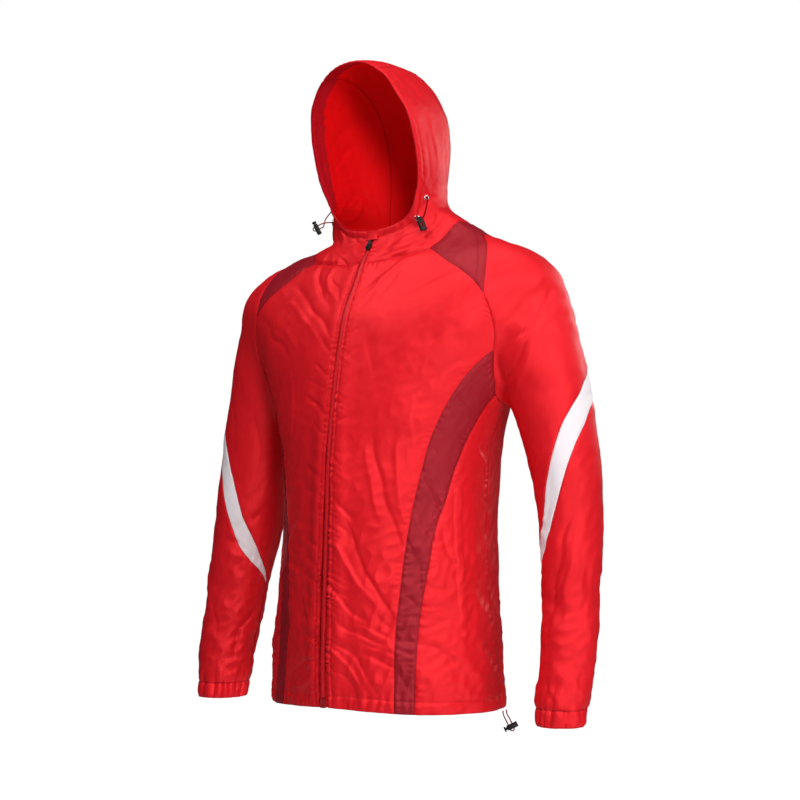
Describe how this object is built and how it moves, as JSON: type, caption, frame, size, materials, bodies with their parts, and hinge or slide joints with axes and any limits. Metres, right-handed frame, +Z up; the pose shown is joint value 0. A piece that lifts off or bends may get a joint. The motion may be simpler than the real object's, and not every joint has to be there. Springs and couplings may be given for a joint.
{
  "type": "hooded zip-front windbreaker jacket",
  "caption": "Hooded zip-front windbreaker in its worn, hollow form, with raglan-style yokes, curved side insets, sleeve stripes, welt pockets and drawcords with cord locks.",
  "frame": {"origin": "middle of the neck at the height of the neck seam's sides, where the wearer's neck and shoulders carry the jacket", "axes": "+Z up, the jacket's front looks along -Y, the wearer's left is +X"},
  "size_m": [0.6891, 0.322, 0.9809],
  "materials": {
    "red_shell": "thin woven nylon shell, bright red, soft sheen",
    "dark_red_shell": "thin woven nylon shell, dark red, soft sheen",
    "white_stripe": "thin woven shell, white",
    "zip_red": "woven zip tape and coil, red",
    "black_plastic": "moulded black plastic",
    "eyelet_steel": "plated steel eyelet",
    "cord_red": "braided round cord, dark red"
  },
  "bodies": {
    "jacket": {"front_left": "red_shell", "front_right": "red_shell", "inset_left": "dark_red_shell", "inset_right": "dark_red_shell", "side_left": "red_shell", "side_right": "red_shell", "back": "red_shell", "yoke_left": "dark_red_shell", "yoke_right": "dark_red_shell", "hood_left": "red_shell", "hood_right": "red_shell", "hood_centre": "red_shell", "sleeve_upper_left": "red_shell", "sleeve_upper_right": "red_shell", "sleeve_stripe_left": "white_stripe", "sleeve_stripe_right": "white_stripe", "sleeve_lower_left": "red_shell", "sleeve_lower_right": "red_shell", "cuff_left": "red_shell", "cuff_right": "red_shell", "zip_tape_left": "zip_red", "zip_tape_right": "zip_red", "zip_chain": "zip_red", "zip_box": "zip_red", "zip_garage": "red_shell", "zip_slider": "black_plastic", "pocket_welt_left": "red_shell", "pocket_welt_right": "red_shell", "eyelet_upper_left": "eyelet_steel", "eyelet_lower_left": "eyelet_steel", "eyelet_upper_right": "eyelet_steel", "eyelet_lower_right": "eyelet_steel", "toggle_hood_left": "black_plastic", "toggle_hood_right": "black_plastic", "toggle_hem_left": "black_plastic", "hood_cord_left": "cord_red", "hood_cord_right": "cord_red", "hem_cord_left": "cord_red"},
    "pull_tab": {"zip_pull": "black_plastic"},
    "hood_button_left": {"toggle_button_hood_left": "black_plastic"},
    "hood_button_right": {"toggle_button_hood_right": "black_plastic"},
    "hem_button_left": {"toggle_button_hem_left": "black_plastic"}
  },
  "joints": [
    {"name": "pull_tab_hinge", "type": "hinge", "parent": "jacket", "child": "pull_tab", "pos_m": [0, -0.06121, -0.03681], "axis": [1, 0, 0], "range_deg": [0, 150]},
    {"name": "hood_button_press_left", "type": "slide", "parent": "jacket", "child": "hood_button_left", "axis": [0.2797, 0.1998, -0.9391], "range_m": [0, 0.002], "stiffness_N_per_m": 300, "springref_m": -0.002},
    {"name": "hood_button_press_right", "type": "slide", "parent": "jacket", "child": "hood_button_right", "axis": [0.3706, 0.2604, -0.8915], "range_m": [0, 0.002], "stiffness_N_per_m": 300, "springref_m": -0.002},
    {"name": "hem_button_press_left", "type": "slide", "parent": "jacket", "child": "hem_button_left", "axis": [0.7387, 0.5182, 0.431], "range_m": [0, 0.002], "stiffness_N_per_m": 300, "springref_m": -0.002}
  ]
}
